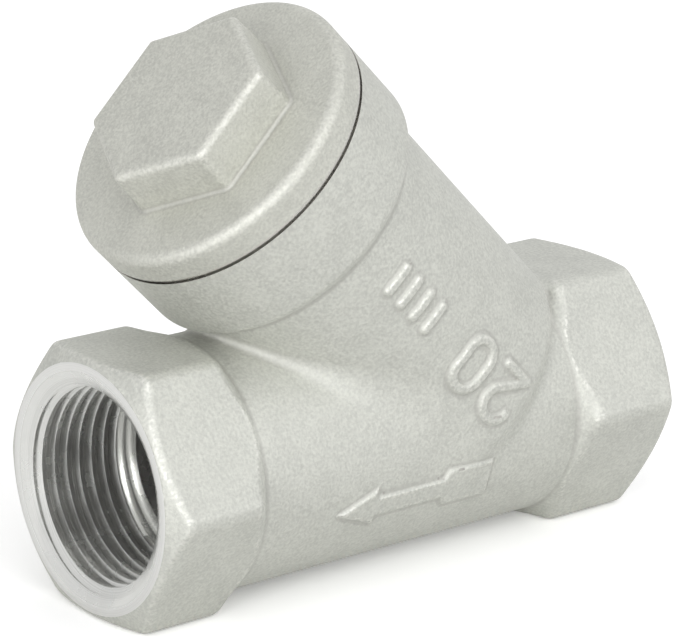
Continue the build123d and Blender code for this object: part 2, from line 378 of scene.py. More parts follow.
def evened(points, faces):
    """Each vertex at the mean of the middles of its faces."""
    middles = points[faces].mean(1)
    count = np.bincount(faces.ravel(), minlength=len(points))
    spread = np.repeat(middles, faces.shape[1], 0)
    sums = [np.bincount(faces.ravel(), spread[:, k], len(points)) for k in range(3)]
    return np.stack(sums, 1) / np.maximum(count, 1)[:, None]


print("settled, the ball is %.6f mm off" % np.abs(ball(settle(ball, trial))).max())


# %% Finer faces where the surface bends
def bend_of(field, points, reach=0.45):
    """How sharply the surface turns, per mm: above 0 on an edge and below 0 in a valley."""
    total = -6 * field(points)
    for shift in np.vstack([np.eye(3), -np.eye(3)]) * reach:
        total = total + field(points + shift)
    return total / reach ** 2


def read_floats(items, name):
    """A property of many mesh items as rows of three numbers."""
    values = np.empty(len(items) * 3)
    items.foreach_get(name, values)
    return values.reshape(-1, 3)


def split_bends(mesh, field, limit):
    """Halves the faces where the surface turns sharply, and settles the new corners."""
    middles = read_floats(mesh.polygons, "center")
    chosen = np.flatnonzero(np.abs(bend_of(field, middles)) > limit)
    work = bmesh.new()
    work.from_mesh(mesh)
    work.faces.ensure_lookup_table()
    edges = {edge for index in chosen for edge in work.faces[index].edges}
    bmesh.ops.subdivide_edges(work, edges=list(edges), cuts=1, use_grid_fill=True)
    bmesh.ops.triangulate(work, faces=[face for face in work.faces if len(face.verts) > 4])
    work.to_mesh(mesh)
    work.free()
    points = settle(field, read_floats(mesh.vertices, "co"), 2)
    mesh.vertices.foreach_set("co", points.ravel())


# %% Casting the body
even_rounds = 3


def linked(name, mesh):
    """A new object in the scene for a mesh."""
    piece = bpy.data.objects.new(name, mesh)
    bpy.context.scene.collection.objects.link(piece)
    return piece


def cast_mesh(name, field, low, high, cell, place=None, limits=(0.6, 1.8)):
    """An object with the field's surface, moved to its place."""
    points, faces = surface_net(field, low, high, cell)
    for _ in range(even_rounds):
        points = settle(field, evened(points, faces))
    mesh = bpy.data.meshes.new(name)
    mesh.from_pydata(points.tolist(), [], faces.tolist())
    for limit in limits:
        split_bends(mesh, field, limit)
    mesh.transform(Matrix.Scale(MM, 4) @ (place or Matrix.Identity(4)))
    mesh.shade_smooth()
    print(name, "%d quads in the net, %d faces after splitting" % (len(faces), len(mesh.polygons)))
    return linked(name, mesh)


net_margin = 1
body_cell = 0.6
body_reach = half_run + allowance + net_margin
body_side = boss_radius + net_margin
body_top = run_height + (seat_height + allowance + boss_radius) * lean[2] + net_margin
body = cast_mesh("body_machined", marked_body_field, (-body_reach, -body_side, -net_margin),
                 (body_reach, body_side, body_top), body_cell)

# %% [markdown]
# ## Machining
# Everything a lathe or a tap does is cut from the castings with closed tool shapes. A turned tool
# is an outline swept round an axis, so its faces are as smooth as its number of steps allows.

# %% Tools turned about an axis
turned_steps = 128
run_turn = Matrix(((0, 0, 1), (1, 0, 0), (0, 1, 0)))
run_frame = Matrix.Translation((0, 0, run_height)) @ run_turn.to_4x4()
branch_frame = Matrix.Translation(foot) @ Matrix((across, side, lean)).transposed().to_4x4()
print(turned_steps, "steps round each tool")


def placed(name, work, place):
    """An object from a bmesh in mm, moved to its place and scaled to metres."""
    work.transform(Matrix.Scale(MM, 4) @ place)
    bmesh.ops.recalc_face_normals(work, faces=work.faces)
    mesh = bpy.data.meshes.new(name)
    work.to_mesh(mesh)
    work.free()
    return linked(name, mesh)


def round_axis(radius, step, steps, height):
    """A point round the Z axis, some steps of a turn from the X axis."""
    angle = 2 * math.pi * step / steps
    return radius * math.cos(angle), radius * math.sin(angle), height


def turned_tool(name, outline, place, steps=turned_steps):
    """A solid turned about Z from (radius, height) points, the first and last on the axis."""
    work = bmesh.new()
    rings = []
    for radius, height in outline:
        count = steps if radius else 1
        rings.append([work.verts.new(round_axis(radius, step, count, height))
                      for step in range(count)])
    for low, high in zip(rings, rings[1:]):
        for step in range(steps):
            after = (step + 1) % steps
            corners = [low[step % len(low)], low[after % len(low)],
                       high[after % len(high)], high[step % len(high)]]
            work.faces.new(list(dict.fromkeys(corners)))
    return placed(name, work, place)


def plug(name, radius, low, high, place, steps=turned_steps):
    """A plain round tool."""
    outline = [(0, low), (radius, low), (radius, high), (0, high)]
    return turned_tool(name, outline, place, steps)


# %% [markdown]
# A screw thread is one profile wound round a rod. The rod below is a grid: each column is one
# angle, and each row climbs by one pitch in a turn, so the last column meets the first one thread
# higher. Rows that would pass an end are held there, and their doubled corners merge.

# %% A threaded rod
thread_steps = 96
print(thread_steps, "columns round each rod")


def threaded_rod(name, profile, pitch, start, end, fade, place, steps=thread_steps):
    """A closed rod with a right-handed thread on the local Z axis.

    The profile lists (share of the pitch, radius) across one turn. Its first radius is the land's.
    """
    land = profile[0][1]
    turns = math.ceil((end - start) / pitch) + 2
    work = bmesh.new()
    columns = []
    for step in range(steps):
        column = []
        for row in range(turns * len(profile) + 1):
            turn, corner = divmod(row, len(profile))
            share, radius = profile[corner]
            height = start + pitch * (turn + share + step / steps - 1)
            height = min(max(height, start), end)
            strength = min(1.0, (height - start) / fade[0], (end - height) / fade[1])
            reach = land + (radius - land) * strength
            column.append(work.verts.new(round_axis(reach, step, steps, height)))
        columns.append(column)
    for step, here in enumerate(columns):
        there, climb = columns[(step + 1) % steps], 0 if step < steps - 1 else len(profile)
        for row in range(len(here) - 1 - climb):
            work.faces.new((here[row], there[row + climb], there[row + 1 + climb], here[row + 1]))
    work.faces.new([column[0] for column in reversed(columns)])
    work.faces.new([column[-1] for column in columns])
    bmesh.ops.remove_doubles(work, verts=work.verts, dist=0.0005)
    return placed(name, work, place)


# %% [markdown]
# The pipe threads are a 55 degree profile at 1.814 mm pitch, wound into the bore from each end. The
# entry chamfer leads the pipe in, and the lip behind the thread is where it would stop.

# %% Sizes of the pipe threads
pipe_pitch = 1.814
pipe_depth = 1.0
thread_depth = 14.5
entry_radius = crest_radius + 2.24
entry_depth = (entry_radius - crest_radius) * math.tan(math.radians(30))
lip_radius = crest_radius - 1.66
lip_end = thread_depth + 2.6
tool_clearance = 4
tool_reach = boss_radius + tool_clearance
overrun = 0.4
tap_short = 0.3
tap_fade_in, tap_fade_out = 0.4, 1.2 * pipe_pitch
tool_sink = 0.04
crest_share, root_share = 0.30, 0.10
print("pipe thread", thread_depth, "deep, entry radius %.2f" % entry_radius)


def vee(land, root, land_share, root_share):
    """A thread's land, flank, root and flank, in shares of the pitch."""
    flank = (1 - land_share - root_share) / 2
    return [(0.0, land), (land_share, land), (land_share + flank, root), (1 - flank, root)]


def pipe_tools(label, outward):
    """The turned tool and the thread tool for one end of the run."""
    face, front = outward * half_run, outward * (half_run + tool_clearance)
    thread_end, bore_end = (face - outward * depth for depth in (thread_depth, lip_end + overrun))
    outline = [(0, front), (tool_reach, front), (tool_reach, face), (entry_radius, face),
               (crest_radius, face - outward * entry_depth), (crest_radius, thread_end),
               (lip_radius, thread_end), (lip_radius, bore_end), (0, bore_end)]
    low, high = sorted((face + outward * pipe_pitch, thread_end + outward * tap_short))
    fades = (tap_fade_out, tap_fade_in) if outward > 0 else (tap_fade_in, tap_fade_out)
    groove = vee(crest_radius - tool_sink, crest_radius + pipe_depth, crest_share, root_share)
    return [turned_tool(label + "_bore_tool", outline, run_frame),
            threaded_rod(label + "_tap", groove, pipe_pitch, low, high, fades, run_frame)]


# %% The cored passages
cavity_radius = barrel_radius - 3.5
chamber_floor = 4.0
chamber_cone = 5.0
partition = 3.2
cavity_start, cavity_end = -half_run + lip_end, foot[0] - chamber_cone / 2
print("outlet cavity from %.1f to %.1f" % (cavity_start, cavity_end))


def passage_tool(name, radius, start, end, keep_above, level):
    """A passage along the run that stops on a plane square to the branch."""
    tool = plug(name, radius, start, end, run_frame, thread_steps)
    work = bmesh.new()
    work.from_mesh(tool.data)
    plane_point = Vector(foot + lean * level) * MM
    cut = bmesh.ops.bisect_plane(
        work, geom=work.verts[:] + work.edges[:] + work.faces[:], plane_co=plane_point,
        plane_no=Vector(lean), clear_inner=keep_above, clear_outer=not keep_above)
    rim = [item for item in cut["geom_cut"] if isinstance(item, bmesh.types.BMEdge)]
    bmesh.ops.edgeloop_fill(work, edges=rim)
    bmesh.ops.recalc_face_normals(work, faces=work.faces)
    work.to_mesh(tool.data)
    work.free()
    return tool


# %% The branch's bore, thread and seats
cap_pitch = record["behaviour"]["couplings"][0]["ratio"] * 2 * math.pi / MM
body_thread_radius = 15.19
cap_thread_radius = 15.05
seat_chamfer = 0.9
thread_floor = spigot_end - 1.5
pocket_radius = screen_radius + 0.69
pocket_rim = 0.9
chamber_radius = neck_radius - 3.0
port_radius, port_start = 9.2, -7
seat_tool_top = seat_height + tool_clearance
seat_tool_radius = tool_reach - 1
print("cap thread pitch %.2f, chamber radius %.1f" % (cap_pitch, chamber_radius))

branch_bore = [
    (0, port_start), (port_radius, port_start), (port_radius, screen_bottom),
    (pocket_radius, screen_bottom), (pocket_radius, chamber_floor),
    (pocket_radius + pocket_rim, chamber_floor), (chamber_radius, chamber_floor + chamber_cone),
    (chamber_radius, thread_floor), (body_thread_radius, thread_floor),
    (body_thread_radius, seat_height - seat_chamfer),
    (body_thread_radius + seat_chamfer, seat_height), (seat_tool_radius, seat_height),
    (seat_tool_radius, seat_tool_top), (0, seat_tool_top),
]


# %% Cutting the body
def with_modifiers(piece):
    """A new mesh of the piece with its modifiers applied."""
    state = bpy.context.evaluated_depsgraph_get()
    return bpy.data.meshes.new_from_object(piece.evaluated_get(state))


def machine(piece, tool, operation="DIFFERENCE"):
    """Cuts a closed tool from a piece, or adds it, and puts the tool away."""
    cut = piece.modifiers.new("cut", "BOOLEAN")
    cut.operation = operation
    cut.solver = "MANIFOLD"
    cut.object = tool
    done = with_modifiers(piece)
    piece.modifiers.remove(cut)
    old = piece.data
    piece.data = done
    done.name = piece.name
    bpy.data.meshes.remove(old)
    bpy.data.objects.remove(tool)
    print(piece.name, operation.lower(), len(done.polygons), "faces")


for tool in pipe_tools("outlet", -1) + pipe_tools("inlet", 1):
    machine(body, tool)
machine(body, passage_tool("outlet_core", cavity_radius, cavity_start, cavity_end, True,
                           chamber_floor))
machine(body, passage_tool("inlet_core", lip_radius, cavity_start, half_run - thread_depth - 0.5,
                           False, chamber_floor - partition))
machine(body, turned_tool("branch_bore_tool", branch_bore, branch_frame))

# %% [markdown]
# ## The cap
# The cap is cast too: a flange with a rounded rim and a hexagon head with a little draft. Its
# spigot is turned and threaded. The male thread is wound with the same pitch and phase as the
# branch's, so the two stay meshed while the cap turns and rises. A thin lip round the flange hides
# most of the gasket, so only a fine dark line shows.

# %% Casting the cap
head_flats = 21.8
head_draft = math.tan(math.radians(2.5))
flange_top = flange_bottom + 4.0
flange_rounding = 1.3
head_edge_round = 0.9
head_corner_round = 0.55
head_foot_round = 0.4
rim_lip, rim_lip_round = 0.3, 0.2
rim_inset = 0.01
cap_cell = 0.45


def cap_field(p):
    """Head and flange in the branch's own frame, with Z along the branch."""
    half = head_flats / 2 - (p[..., 2] - flange_top) * head_draft
    head = six_flats(p[..., 0], p[..., 1], half, (30, 90, 150), head_corner_round)
    head = cut_round(head, p[..., 2] - head_top, head_edge_round)
    head = np.maximum(head, flange_bottom + 1 - p[..., 2])
    about = np.hypot(p[..., 0], p[..., 1])
    flange = cut_round(about - flange_radius + rim_inset, p[..., 2] - flange_top, flange_rounding)
    flange = cut_round(flange, flange_bottom - rim_lip - p[..., 2], rim_lip_round)
    return join_round(head, flange, head_foot_round)


cap_reach = flange_radius + net_margin
cap_low = (-cap_reach, -cap_reach, flange_bottom - net_margin)
cap_high = (cap_reach, cap_reach, head_top + net_margin)
cap_casting = cast_mesh("cap_machined", cap_field, cap_low, cap_high, cap_cell, branch_frame)

# %% Turning and threading the cap
thread_rise = 0.86
run_out = 1.6
neck_tool_radius = cap_thread_radius - seat_chamfer
pilot_radius = screen_radius + 0.2
core_radius = head_flats / 2 - 2.3
cap_ceiling = flange_top - 2.7
core_top = head_top - 4.2

cap_share = 0.14
gasket_clearance, gasket_gap = 0.2, 0.01
neck_low, neck_high = flange_bottom - run_out - 0.2, flange_bottom + 0.6

male = vee(cap_thread_radius, cap_thread_radius + thread_rise, cap_share, cap_share)
spigot_thread = threaded_rod("spigot_thread", male, cap_pitch, spigot_end,
                             flange_bottom - run_out + 0.3, (1.1, 0.9), branch_frame, turned_steps)
cap_bore = turned_tool("cap_bore", [
    (0, spigot_end - 1), (pilot_radius, spigot_end - 1), (pilot_radius, cap_ceiling),
    (core_radius, cap_ceiling), (core_radius, core_top), (0, core_top)], branch_frame)
machine(cap_casting, plug("gasket_recess", gasket_radius + gasket_clearance, flange_bottom - 2,
                          flange_bottom + gasket_gap, branch_frame))
spigot_neck = plug("spigot_neck", neck_tool_radius, neck_low, neck_high, branch_frame)
machine(cap_casting, spigot_neck, "UNION")
machine(cap_casting, spigot_thread, "UNION")
machine(cap_casting, cap_bore)

# %% The branch's own thread
female = vee(body_thread_radius - tool_sink, body_thread_radius + thread_rise, cap_share, cap_share)
machine(body, threaded_rod("branch_tap", female, cap_pitch, thread_floor, seat_height + cap_pitch,
                           (0.5, 1.2), branch_frame, turned_steps))

# %% [markdown]
# ## The wire cloth
# The fine filter is plain-woven wire: hoops round the sleeve and straight wires along it, each
# going over and under the other. One node group weaves both, so count and wire are just numbers.
# Neighbouring wires take turns, which is why each wire's index shifts its wave by half a turn.
# A short helper for node trees comes first, and the finishes use it too.

# %% Small helpers for nodes
class Nodes:
    """Short ways to add and link one tree's nodes."""

    def __init__(self, tree):
        self.tree = tree

    def fill(self, node, **inputs):
        """Sets or links a node's inputs by name, or by number as in _0; gives its outputs."""
        for name, value in inputs.items():
            socket = node.inputs[int(name[1:]) if name[0] == "_" else name.replace("_", " ")]
            if isinstance(value, bpy.types.NodeSocket):
                self.tree.links.new(value, socket)
            else:
                socket.default_value = value
        return node.outputs

    def add(self, kind, output=0, settings=(), **inputs):
        """A new node with its inputs filled; gives one of its outputs."""
        node = self.tree.nodes.new(kind)
        for name, value in dict(settings).items():
            setattr(node, name, value)
        return self.fill(node, **inputs)[output]

    def use(self, group, **inputs):
        """A shared group, placed in this tree; gives its outputs."""
        node = self.tree.nodes.new("ShaderNodeGroup")
        node.node_tree = group
        return self.fill(node, **inputs)

    def maths(self, operation, *values):
        return self.add("ShaderNodeMath", 0, {"operation": operation},
                        **{"_%d" % number: value for number, value in enumerate(values)})

    def vectors(self, operation, output, first, second):
        return self.add("ShaderNodeVectorMath", output, {"operation": operation},
                        _0=first, _1=second)

    def noise(self, scale, detail, **inputs):
        """Noise on the piece, with its scale in grains a metre."""
        return self.add("ShaderNodeTexNoise", Vector=self.add("ShaderNodeTexCoord", "Object"),
                        Scale=scale, Detail=detail, **inputs)

    def range(self, value, low, high, to_low=0.0, to_high=1.0):
        return self.add("ShaderNodeMapRange", Value=value, From_Min=low, From_Max=high,
                        To_Min=to_low, To_Max=to_high)

    def mixed(self, share, first, second):
        """A colour between two. A plain one is red, green and blue."""
        first, second = (colour if isinstance(colour, bpy.types.NodeSocket) else (*colour, 1)
                         for colour in (first, second))
        return self.add("ShaderNodeMix", 2, {"data_type": "RGBA"}, _0=share, _6=first, _7=second)


print("node helpers:", [name for name in vars(Nodes) if name[0] != "_"])


# %% Weaving with Geometry Nodes
def weave_group():
    """A node group that weaves a sleeve round Z."""
    group = bpy.data.node_groups.new("woven sleeve", "GeometryNodeTree")
    group.interface.new_socket("Geometry", in_out="OUTPUT", socket_type="NodeSocketGeometry")
    for name, kind in (("Radius", "Float"), ("Bottom", "Float"), ("Height", "Float"),
                       ("Wire Radius", "Float"), ("Wires", "Int"), ("Hoops", "Int"),
                       ("Material", "Material")):
        group.interface.new_socket(name, in_out="INPUT", socket_type="NodeSocket" + kind)
    gn = Nodes(group)
    maths = gn.maths
    given = group.nodes.new("NodeGroupInput").outputs

    def copies(curve, amount):
        """Copies of a curve, and each copy's number."""
        node = group.nodes.new("GeometryNodeDuplicateElements")
        node.domain = "SPLINE"
        outputs = gn.fill(node, Geometry=curve, Amount=amount)
        return outputs["Geometry"], outputs["Duplicate Index"]

    def bent(curve, turn, wave, height, sign):
        """Moves a curve's points to an angle, a waving radius and a height."""
        swing = maths("MULTIPLY", maths("COSINE", maths("MULTIPLY", wave, math.pi)), sign)
        radius = maths("MULTIPLY_ADD", swing, given["Wire Radius"], given["Radius"])
        angle = maths("MULTIPLY", turn, 2 * math.pi)
        spot = gn.add("ShaderNodeCombineXYZ", X=maths("MULTIPLY", radius, maths("COSINE", angle)),
                      Y=maths("MULTIPLY", radius, maths("SINE", angle)), Z=height)
        return gn.add("GeometryNodeSetPosition", Geometry=curve, Position=spot)

    def risen(share):
        """The height at a share of the sleeve's length."""
        return maths("MULTIPLY_ADD", share, given["Height"], given["Bottom"])

    along = gn.add("GeometryNodeSplineParameter", "Factor")
    straight = gn.add("GeometryNodeResampleCurve", Curve=gn.add("GeometryNodeCurvePrimitiveLine"),
                      Count=maths("MULTIPLY_ADD", given["Hoops"], 4, 1))
    wires, wire = copies(straight, given["Wires"])
    wave = maths("ADD", maths("MULTIPLY_ADD", along, given["Hoops"], -0.5), wire)
    wires = bent(wires, maths("DIVIDE", wire, given["Wires"]), wave, risen(along), 1)

    circle = gn.add("GeometryNodeCurvePrimitiveCircle",
                    Resolution=maths("MULTIPLY", given["Wires"], 4))
    hoops, hoop = copies(circle, given["Hoops"])
    share = maths("DIVIDE", maths("ADD", hoop, 0.5), given["Hoops"])
    wave = maths("MULTIPLY_ADD", along, given["Wires"], hoop)
    hoops = bent(hoops, along, wave, risen(share), -1)

    both = group.nodes.new("GeometryNodeJoinGeometry")
    for strands in (hoops, wires):
        gn.fill(both, _0=strands)
    section = gn.add("GeometryNodeCurvePrimitiveCircle", Resolution=5, Radius=given["Wire Radius"])
    solid = gn.add("GeometryNodeCurveToMesh", Curve=both.outputs[0], Profile_Curve=section,
                   Fill_Caps=True)
    real = gn.add("GeometryNodeRealizeInstances", _0=solid)
    paint = gn.add("GeometryNodeSetMaterial", Geometry=real, Material=given["Material"])
    gn.fill(group.nodes.new("NodeGroupOutput"), _0=paint)
    print(group.name, "has", len(group.nodes), "nodes")
    return group


def woven(name, **settings):
    """The sleeve as a plain mesh in the branch."""
    piece = linked(name, bpy.data.meshes.new(name))
    weave = piece.modifiers.new("weave", "NODES")
    weave.node_group = weave_group()
    for item in weave.node_group.interface.items_tree:
        if item.in_out == "INPUT":
            weave[item.identifier] = settings[item.name.replace(" ", "_")]
    mesh = with_modifiers(piece)
    piece.modifiers.clear()
    piece.data = mesh
    mesh.name = name
    mesh.transform(Matrix.Scale(MM, 4) @ branch_frame)
    mesh.shade_smooth()
    print(name, len(mesh.polygons), "faces")
    return piece


# %% [markdown]
# ## Finishes
# Every finish is built from the same two node groups. Lengths in them are in metres, so a noise
# of scale 2500 has grains of about 0.4 mm. The first group is the grain that shot blasting leaves.

# %% Shot-blasted grain
def shared_group(name, inputs, outputs):
    """A new shader group, its Nodes, its inputs and its output node."""
    group = bpy.data.node_groups.new(name, "ShaderNodeTree")
    for way, labels in (("INPUT", inputs), ("OUTPUT", outputs)):
        for label in labels:
            group.interface.new_socket(label, in_out=way, socket_type="NodeSocketFloat")
    given = group.nodes.new("NodeGroupInput").outputs
    return group, Nodes(group), given, group.nodes.new("NodeGroupOutput")


grain_group, sh, given, out = shared_group("blasted grain", ["Scale"],
                                           ["Shade", "Height", "Fleck"])
broad_scale, pit_scale, fleck_scale = (sh.maths("MULTIPLY", given["Scale"], share)
                                       for share in (0.075, 0.42, 0.8))
fine = sh.noise(given["Scale"], 3.0, Roughness=0.62)
broad = sh.noise(broad_scale, 4.0, Roughness=0.6)
flecks = sh.noise(fleck_scale, 1.0)
cells = sh.add("ShaderNodeTexVoronoi", 0, {"feature": "F1"}, Scale=pit_scale,
               Vector=sh.add("ShaderNodeTexCoord", "Object"))
dents = sh.maths("MULTIPLY_ADD", sh.range(cells, 0.0, 0.42), 0.35, sh.maths("MULTIPLY", fine, 0.65))
sh.fill(out, Shade=sh.maths("MULTIPLY_ADD", fine, 0.78, sh.maths("MULTIPLY", broad, 0.22)),
        Height=sh.maths("MULTIPLY_ADD", broad, 0.6, dents), Fleck=sh.range(flecks, 0.44, 0.62))
print(grain_group.name, "has", len(grain_group.nodes), "nodes")

# %% [markdown]
# A lathe leaves fine lines round the axis that the work turned on. The run and the branch have
# different axes, so the second group measures from a point and an axis that are given to it.

# %% Turning marks round an axis
turned_group, sh, given, out = shared_group(
    "turning marks", ["Start X", "Axis X", "Axis Z", "Pitch"], ["Shade", "Height"])
start = sh.add("ShaderNodeCombineXYZ", X=given["Start X"], Y=0.0, Z=run_height * MM)
axis = sh.add("ShaderNodeCombineXYZ", X=given["Axis X"], Y=0.0, Z=given["Axis Z"])
offset = sh.vectors("SUBTRACT", 0, sh.add("ShaderNodeTexCoord", "Object"), start)
climb = sh.vectors("DOT_PRODUCT", "Value", offset, axis)
square = sh.vectors("DOT_PRODUCT", "Value", offset, offset)
square = sh.maths("SUBTRACT", square, sh.maths("MULTIPLY", climb, climb))
about = sh.maths("SQRT", sh.maths("MAXIMUM", square, 0))
lines_at = sh.maths("DIVIDE", sh.maths("MULTIPLY_ADD", climb, 0.7, about), given["Pitch"])
along_one = {"noise_dimensions": "1D"}
lines = sh.add("ShaderNodeTexNoise", 0, along_one, W=lines_at, Scale=1.0, Detail=2.0, Roughness=0.7)
bands = sh.add("ShaderNodeTexNoise", 0, along_one, W=sh.maths("MULTIPLY", lines_at, 0.12),
               Scale=1.0, Detail=1.0)
sh.fill(out, Shade=sh.maths("MULTIPLY_ADD", lines, 0.8, sh.maths("MULTIPLY", bands, 0.2)),
        Height=lines)
print(turned_group.name, "has", len(turned_group.nodes), "nodes")

run_line = {"Start_X": 0.0, "Axis_X": 1.0, "Axis_Z": 0.0}
branch_line = {"Start_X": foot[0] * MM, "Axis_X": lean[0], "Axis_Z": lean[2]}


# %% Metals
def new_material(name):
    """A material with its Nodes and its Principled node."""
    material = bpy.data.materials.new(name)
    material.use_nodes = True
    return material, Nodes(material.node_tree), material.node_tree.nodes["Principled BSDF"]


def painted(shader, main, colour, roughness, height, strength, depth, metal=1.0):
    """Joins a colour, a roughness and a bump of a depth in metres to the Principled node."""
    normal = shader.add("ShaderNodeBump", Strength=strength, Distance=depth, Height=height)
    shader.fill(main, Base_Color=colour, Roughness=roughness, Metallic=metal, Normal=normal)


def cast_steel(name, scale, dark, light, rough=(0.60, 0.74)):
    """Blasted casting: a fine even grain, edges brighter by wear and a painted highlight, painted
    shade in valleys.
    """
    material, shader, main = new_material(name)
    grain = shader.use(grain_group, Scale=scale)
    turn = shader.add("ShaderNodeAttribute", "Fac", {"attribute_name": "turn"})
    colour = shader.mixed(shader.range(grain["Shade"], 0.38, 0.62), dark, light)
    # Sharp edges get a lighter, glossier colour: partly wear, partly a painted highlight.
    wear_and_painted_highlight = shader.maths("MULTIPLY", shader.range(turn, 0.35, 1.8, 0.0, 0.5), grain["Fleck"])
    # Valleys are painted a darker grey: painted shade in the hollows.
    painted_valley_shade = shader.range(turn, -0.2, -0.9, 0.0, 0.30)
    colour = shader.mixed(wear_and_painted_highlight, colour, (0.82, 0.815, 0.77))
    colour = shader.mixed(painted_valley_shade, colour, (0.42, 0.41, 0.39))
    roughness = shader.range(grain["Shade"], 0.35, 0.65, *rough)
    roughness = shader.maths("MULTIPLY_ADD", wear_and_painted_highlight, -0.3, roughness)
    painted(shader, main, colour, roughness, grain["Height"], 0.7, 0.0001)
    return material


def turned_steel(name, line, dark, light, rough, pitch=0.00009, metal=1.0):
    """Bright machined steel with the fine lines a cutting tool leaves."""
    material, shader, main = new_material(name)
    marks = shader.use(turned_group, Pitch=pitch, **line)
    smear = shader.noise(260.0, 3.0)
    colour = shader.mixed(shader.range(marks["Shade"], 0.35, 0.65), dark, light)
    colour = shader.mixed(shader.range(smear, 0.45, 0.75, 0.0, 0.35), colour, dark)
    roughness = shader.range(smear, 0.3, 0.7, *rough)
    painted(shader, main, colour, roughness, marks["Height"], 0.5, 0.000008, metal)
    return material


body_steel = cast_steel("cast_steel_body", 2600.0, (0.56, 0.566, 0.532), (0.695, 0.701, 0.66))
cap_steel = cast_steel("cast_steel_cap", 2800.0, (0.555, 0.558, 0.518), (0.685, 0.688, 0.64))
cored_steel = cast_steel("cored_steel", 1500.0, (0.40, 0.39, 0.37), (0.52, 0.51, 0.48),
                         (0.55, 0.72))
run_steel = turned_steel("threaded_steel", run_line, (0.66, 0.665, 0.645), (0.90, 0.90, 0.88),
                         (0.18, 0.32), metal=0.9)
face_steel = turned_steel("faced_steel", run_line, (0.80, 0.80, 0.785), (0.90, 0.90, 0.885),
                          (0.30, 0.44))
branch_steel = turned_steel("branch_turned_steel", branch_line, (0.52, 0.51, 0.48),
                            (0.72, 0.71, 0.68), (0.2, 0.34))
ring_steel = turned_steel("pressed_ring_steel", branch_line, (0.55, 0.545, 0.53),
                          (0.70, 0.695, 0.68), (0.24, 0.36), 0.0003)
print(len(bpy.data.materials), "materials")


# %% Sheet, wire and gasket
def rolled_steel(name, dark, light, rough, streak_width):
    """Thin cold-rolled strip: faint streaks round the tube and a satin shine."""
    material, shader, main = new_material(name)
    marks = shader.use(turned_group, Pitch=streak_width, **branch_line)
    grain = shader.use(grain_group, Scale=1200.0)
    colour = shader.mixed(shader.range(marks["Shade"], 0.35, 0.65), dark, light)
    colour = shader.mixed(shader.range(grain["Shade"], 0.52, 0.75, 0.0, 0.3), colour, dark)
    roughness = shader.range(grain["Shade"], 0.35, 0.65, *rough)
    painted(shader, main, colour, roughness, marks["Height"], 0.35, 0.000006)
    return material


def pressed_white(name):
    """PTFE: a waxy white with very faint mottling and cutting lines round its edge."""
    material, shader, main = new_material(name)
    marks = shader.use(turned_group, Pitch=0.0002, **branch_line)
    mottle = shader.noise(700.0, 3.0)
    mottle_share = shader.range(mottle, 0.35, 0.65)
    colour = shader.mixed(mottle_share, (0.72, 0.715, 0.69), (0.82, 0.815, 0.80))
    roughness = shader.range(mottle, 0.3, 0.7, 0.38, 0.5)
    painted(shader, main, colour, roughness, marks["Height"], 0.3, 0.00001, 0.0)
    return material


sheet_steel = rolled_steel("perforated_sheet", (0.58, 0.578, 0.56), (0.72, 0.718, 0.70),
                           (0.32, 0.42), 0.0004)
wire_steel = rolled_steel("wire_cloth", (0.50, 0.495, 0.48), (0.70, 0.695, 0.68), (0.26, 0.38),
                          0.0008)
white_gasket = pressed_white("ptfe")
print(len(bpy.data.materials), "materials")

# %% Weaving the sleeve
mesh_bottom, mesh_top, mesh_radius = along_branch("screen_mesh")
wire_radius = 0.095
sleeve_inset = 2.1 * wire_radius
end_gap = 0.05
wire_cloth = woven("wire_sleeve", Radius=mesh_radius - sleeve_inset, Bottom=mesh_bottom + end_gap,
                   Height=mesh_top - mesh_bottom - 2 * end_gap, Wire_Radius=wire_radius,
                   Wires=50, Hoops=42, Material=wire_steel)

# %% [markdown]
# ## Painting the castings
# Each face of a machined casting is either cast skin, turned steel or a cored passage. Which one it
# is follows from where it lies: on the casting's field, inside a bore, or in the dark between them.

# %% Which finish a face takes
crisp_angle = math.radians(32)
skin_depth, point_depth = 0.04, 0.02
sharpest = 3


def in_branch(points):
    """Points of the whole object, seen from the branch's own frame."""
    offset = points - foot
    return np.stack([offset @ across, offset @ side, offset @ lean], -1)


def finished(piece, materials, choice, field, points):
    """Gives faces their materials, stores how sharply the skin turns, and sets crisp edges."""
    mesh = piece.data
    mesh.materials.clear()
    for material in materials:
        mesh.materials.append(material)
    mesh.polygons.foreach_set("material_index", choice.astype(np.int32))
    bend = np.where(np.abs(field(points)) < point_depth, bend_of(field, points), 0.0)
    turn = mesh.attributes.new("turn", "FLOAT", "POINT")
    turn.data.foreach_set("value", np.clip(bend, -sharpest, sharpest).astype(np.float32))
    mesh.shade_smooth()
    mesh.set_sharp_from_angle(angle=crisp_angle)
    print(piece.name, "faces of each finish", np.bincount(choice).tolist())


# %% Painting the body
SKIN, FACE, THREAD, SEAT, CORED = range(5)
touch = 0.02
middles = read_floats(body.data.polygons, "center") / MM
local = in_branch(middles)
from_run = np.hypot(middles[:, 1], middles[:, 2] - run_height)
from_branch = np.hypot(local[:, 0], local[:, 1])
on_skin = np.abs(marked_body_field(middles)) < skin_depth
at_face = np.abs(np.abs(middles[:, 0]) - half_run) < touch / 2
in_run = (np.abs(middles[:, 0]) > half_run - lip_end) & (from_run < entry_radius + touch)
in_seat = (local[:, 2] > thread_floor - touch) & (from_branch < boss_radius + 1)
choice = np.select([at_face, on_skin, in_run, in_seat], [FACE, SKIN, THREAD, SEAT], CORED)
finished(body, [body_steel, face_steel, run_steel, branch_steel, cored_steel], choice,
         marked_body_field, read_floats(body.data.vertices, "co") / MM)

